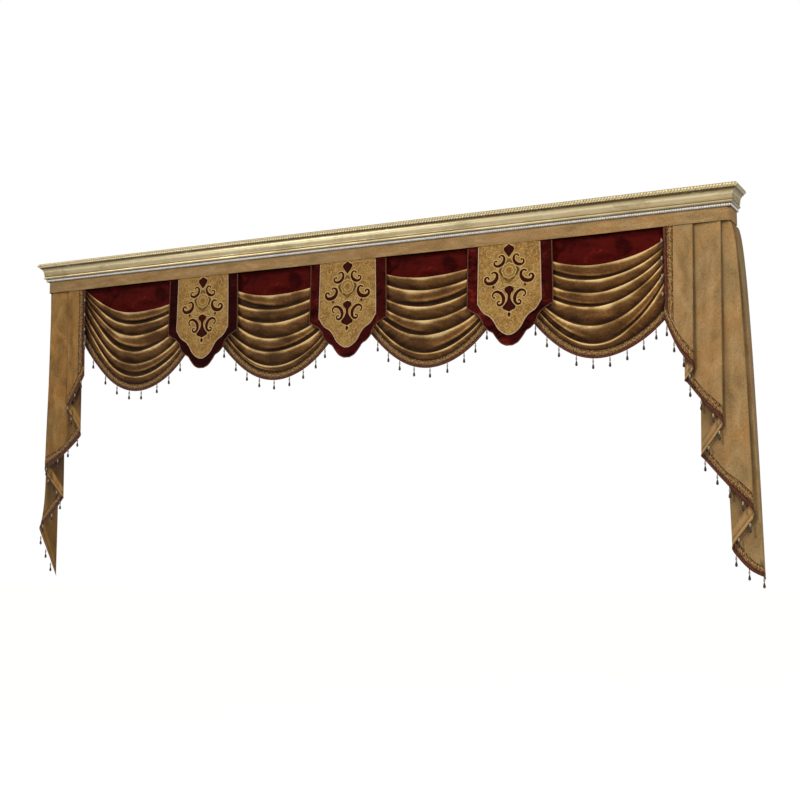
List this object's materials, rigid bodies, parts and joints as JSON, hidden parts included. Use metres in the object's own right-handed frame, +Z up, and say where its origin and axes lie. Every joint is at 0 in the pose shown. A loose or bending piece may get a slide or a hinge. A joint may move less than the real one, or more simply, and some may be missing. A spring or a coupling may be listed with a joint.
{
  "type": "window valance and cornice",
  "caption": "Draped window valance on a gilded cornice: gold swags between burgundy shield pendants, with pleated cascade tails at both ends and bead trim on the hems.",
  "frame": {"origin": "middle of the pelmet board's back edge, on the wall", "axes": "+Y into the wall, so the valance's face looks along -Y; +Z up; +X to the right as seen from the room"},
  "size_m": [3.6641, 0.1653, 1.6311],
  "materials": {
    "pine": "planed, unpainted",
    "gold_leaf": "gilded in pale gold, softly shining",
    "silver_leaf": "silvered, softly shining",
    "gold_chenille": "mottled gold-brown chenille",
    "burgundy_velvet": "crushed burgundy velvet",
    "gold_brocade": "gold ground with dark scroll embroidery",
    "gold_piping": "thin twisted cord",
    "bead_trim": "gold mesh braid with a burgundy edge and glass and wood bead drops"
  },
  "bodies": {
    "root": {"pelmet_top_board": "pine", "pelmet_front_board": "pine", "pelmet_left_board": "pine", "pelmet_right_board": "pine", "cornice_moulding_front": "gold_leaf", "cornice_moulding_left": "gold_leaf", "cornice_moulding_right": "gold_leaf", "rope_bead_front": "gold_leaf", "rope_bead_left": "gold_leaf", "rope_bead_right": "gold_leaf", "pearl_bead_front": "silver_leaf", "pearl_bead_left": "silver_leaf", "pearl_bead_right": "silver_leaf", "heading_band": "gold_chenille", "swag_1": "gold_chenille", "swag_2": "gold_chenille", "swag_3": "gold_chenille", "swag_4": "gold_chenille", "tail_left": "gold_chenille", "tail_right": "gold_chenille", "backing_1": "burgundy_velvet", "backing_2": "burgundy_velvet", "backing_3": "burgundy_velvet", "backing_4": "burgundy_velvet", "shield_1": "burgundy_velvet", "shield_2": "burgundy_velvet", "shield_3": "burgundy_velvet", "medallion_1": "gold_brocade", "medallion_2": "gold_brocade", "medallion_3": "gold_brocade", "shield_piping_1": "gold_piping", "medallion_piping_1": "gold_piping", "shield_piping_2": "gold_piping", "medallion_piping_2": "gold_piping", "shield_piping_3": "gold_piping", "medallion_piping_3": "gold_piping", "swag_trim_1": "bead_trim", "swag_trim_2": "bead_trim", "swag_trim_3": "bead_trim", "swag_trim_4": "bead_trim", "edge_trim_left": "bead_trim", "edge_trim_right": "bead_trim", "hem_trim_left": "bead_trim", "hem_trim_right": "bead_trim"}
  },
  "joints": []
}
